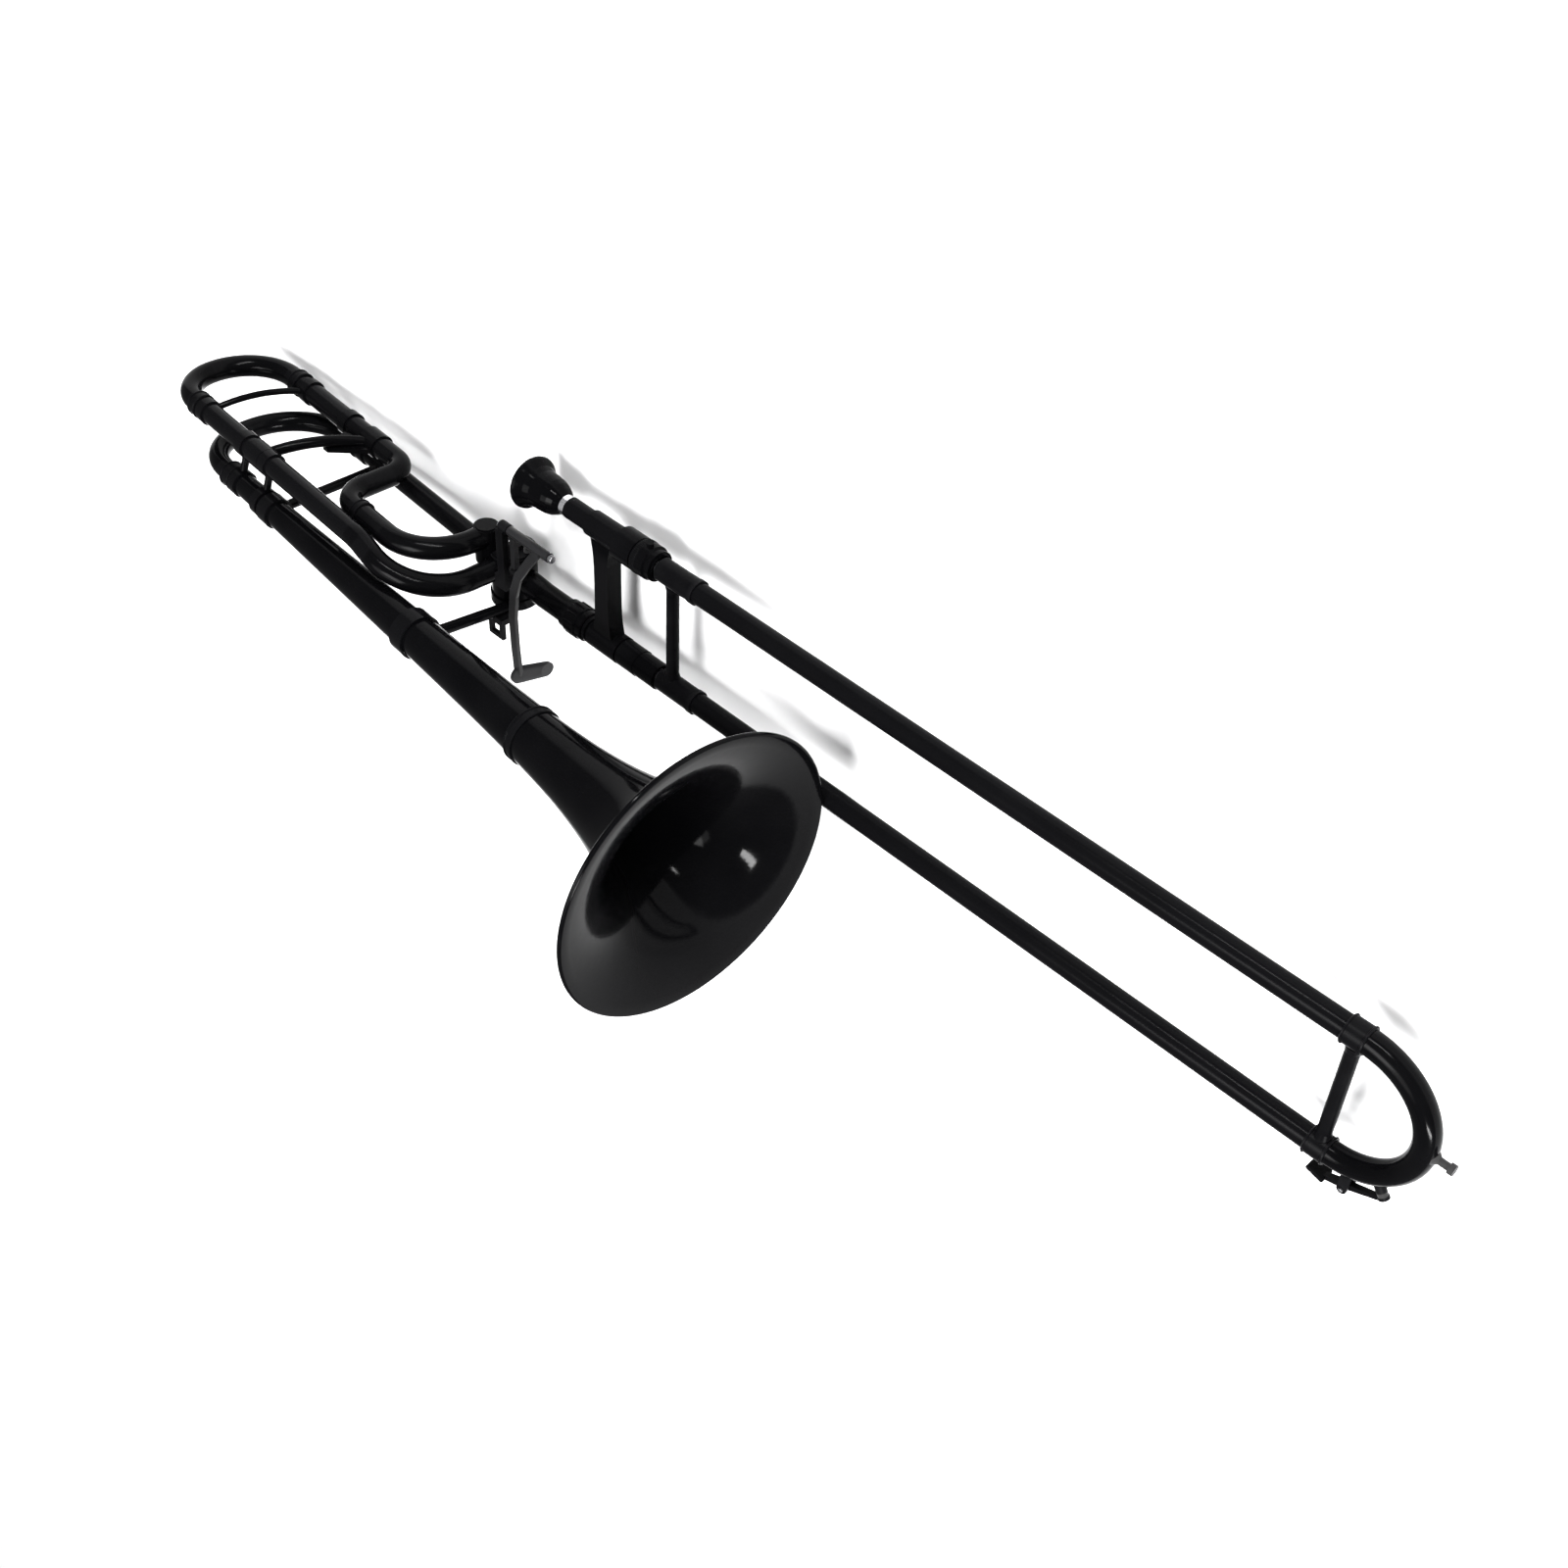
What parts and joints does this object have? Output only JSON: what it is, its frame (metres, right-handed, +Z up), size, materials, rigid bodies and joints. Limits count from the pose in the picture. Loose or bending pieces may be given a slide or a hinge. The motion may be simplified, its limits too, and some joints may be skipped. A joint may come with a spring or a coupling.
{
  "type": "trombone",
  "caption": "Tenor trombone with a rotary valve attachment, flared bell, telescoping hand slide, two tuning slides, thumb lever and mouthpiece.",
  "frame": {"origin": "bottom centre of the box of the whole instrument, as it lies on its hand slide", "axes": "+X forward along the hand slide to its bow, +Y across the slide to the mouthpiece tube, +Z up to the bell"},
  "size_m": [1.1392, 0.224, 0.251],
  "materials": {
    "black_shell": "polished black",
    "satin_black": "satin black",
    "pin_steel": "ground",
    "lever_grey": "satin",
    "rotor_metal": "turned",
    "inner_tube_metal": "polished",
    "black_rubber": "matt"
  },
  "bodies": {
    "bell_section": {"bell_flare": "black_shell", "bell_stem": "black_shell", "throat_ring": "satin_black", "stem_joint_ring": "satin_black", "neck_leg": "black_shell", "neck_leg_ring": "satin_black", "valve_casing": "black_shell", "valve_cap_lower": "satin_black", "valve_plate": "satin_black", "stop_bumpers": "black_rubber", "neck_receiver": "black_shell", "lever_saddle": "satin_black", "lever_pin": "pin_steel", "f_near_leg": "black_shell", "f_far_leg": "black_shell", "f_joint_rings": "satin_black", "f_arch_brace": "black_shell", "f_gusset_brace": "black_shell", "bell_brace_rear": "black_shell", "bell_brace_front": "black_shell", "leg_posts": "black_shell", "hand_bracket": "satin_black"},
    "valve_rotor": {"rotor": "rotor_metal", "stop_arm": "satin_black"},
    "thumb_lever": {"thumb_lever": "lever_grey"},
    "lever_link": {"lever_link": "lever_grey"},
    "main_tuning_slide": {"main_slide_bow": "black_shell", "main_slide_legs": "inner_tube_metal"},
    "f_tuning_slide": {"f_slide_bow": "black_shell", "f_slide_legs": "inner_tube_metal"},
    "lock_nut": {"lock_nut": "black_shell"},
    "inner_slide": {"lower_sleeve": "black_shell", "lead_receiver": "black_shell", "receiver_ring": "lever_grey", "grip_brace": "black_shell", "upper_barrel": "black_shell", "lower_barrel": "black_shell", "inner_tube_upper": "inner_tube_metal", "inner_tube_lower": "inner_tube_metal"},
    "slide_lock_ring": {"slide_lock_ring": "black_shell"},
    "mouthpiece": {"mouthpiece": "black_shell"},
    "outer_slide": {"outer_sleeve_upper": "black_shell", "outer_sleeve_lower": "black_shell", "hand_brace": "black_shell", "outer_tube_upper": "black_shell", "outer_tube_lower": "black_shell", "bow_ferrules": "satin_black", "bow_brace": "black_shell", "slide_bow": "black_shell", "bumper_knob": "black_rubber", "water_key_posts": "satin_black", "water_key_pin": "pin_steel"},
    "water_key": {"water_key": "satin_black", "water_key_cork": "black_rubber"}
  },
  "joints": [
    {"name": "slide_swivel", "type": "hinge", "parent": "bell_section", "child": "inner_slide", "pos_m": [-0.14841, -0.004, 0.02598], "axis": [1, 0, 0], "range_deg": [-15, 15]},
    {"name": "slide_travel", "type": "slide", "parent": "inner_slide", "child": "outer_slide", "axis": [1, 0, 0], "range_m": [0, 0.46]},
    {"name": "slide_lock_turn", "type": "hinge", "parent": "inner_slide", "child": "slide_lock_ring", "pos_m": [-0.06842, 0.092, 0.02598], "axis": [1, 0, 0], "range_deg": [0, 45]},
    {"name": "mouthpiece_pull", "type": "slide", "parent": "inner_slide", "child": "mouthpiece", "axis": [-1, 0, 0], "range_m": [0, 0.03]},
    {"name": "main_tuning", "type": "slide", "parent": "bell_section", "child": "main_tuning_slide", "axis": [-0.9981, 0, -0.061], "range_m": [0, 0.06]},
    {"name": "f_tuning", "type": "slide", "parent": "bell_section", "child": "f_tuning_slide", "axis": [-0.9981, 0, -0.061], "range_m": [0, 0.06]},
    {"name": "lock_nut_turn", "type": "hinge", "parent": "bell_section", "child": "lock_nut", "pos_m": [-0.14541, -0.004, 0.02598], "axis": [1, 0, 0], "range_deg": [0, 1080]},
    {"name": "valve_turn", "type": "hinge", "parent": "bell_section", "child": "valve_rotor", "pos_m": [-0.22572, -0.004, 0.02362], "axis": [0, 1, 0], "range_deg": [0, 80], "stiffness_Nm_per_rad": 0.02, "springref_deg": -57.3},
    {"name": "lever_press", "type": "hinge", "parent": "bell_section", "child": "thumb_lever", "pos_m": [-0.17741, 0.057, 0.04548], "axis": [1, 0, 0], "range_deg": [0, 14]},
    {"name": "link_pivot", "type": "hinge", "parent": "valve_rotor", "child": "lever_link", "pos_m": [-0.22126, 0.0244, 0.02785], "axis": [0, 1, 0], "range_deg": [-80, 0]},
    {"name": "water_key_press", "type": "hinge", "parent": "outer_slide", "child": "water_key", "pos_m": [0.51758, -0.0195, 0.02598], "axis": [0, 0, -1], "range_deg": [0, 14], "stiffness_Nm_per_rad": 0.02, "springref_deg": -22.92}
  ],
  "couplings": [
    {"joint": "lever_press", "follows": "valve_turn", "ratio": 0.175},
    {"joint": "link_pivot", "follows": "valve_turn", "ratio": -1}
  ]
}
